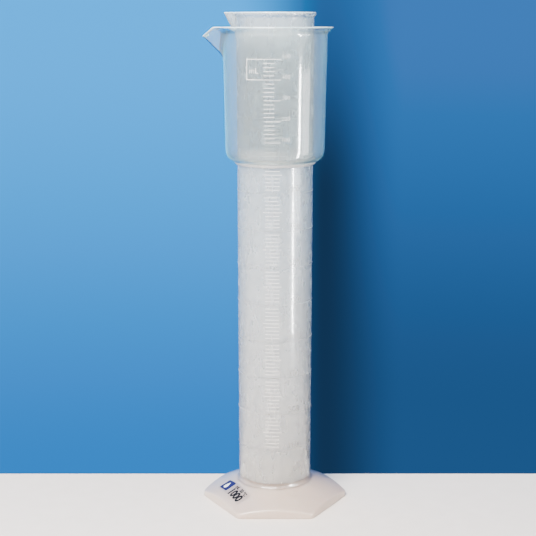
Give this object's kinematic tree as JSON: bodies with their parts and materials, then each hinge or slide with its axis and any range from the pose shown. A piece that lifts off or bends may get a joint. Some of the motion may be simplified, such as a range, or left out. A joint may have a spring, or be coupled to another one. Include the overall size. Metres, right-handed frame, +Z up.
{
  "type": "graduated cylinder with overflow cup",
  "caption": "Tall translucent plastic measuring cylinder on a hexagonal foot, with a spouted cup sealed round its mouth to catch what runs over.",
  "frame": {"origin": "on the tube's axis at the table, in the middle of the foot's resting ring", "axes": "+Z up along the tube's axis, -Y the face with the scales, -X the side both spouts point to"},
  "size_m": [0.1308, 0.1152, 0.4395],
  "materials": {
    "tube_plastic": "milky translucent polypropylene, semi-gloss",
    "cup_plastic": "milky translucent polypropylene, semi-gloss, thin wall",
    "foot_plastic": "milky translucent polypropylene, thicker moulding",
    "weld_plastic": "melted filler of the same polypropylene",
    "label_film": "printed plastic film"
  },
  "bodies": {
    "root": {"graduated_tube": "tube_plastic", "overflow_cup": "cup_plastic", "hexagonal_foot": "foot_plastic", "cup_weld_inside": "weld_plastic", "cup_weld_underside": "weld_plastic", "foot_weld": "weld_plastic", "foot_label": "label_film"}
  },
  "joints": []
}
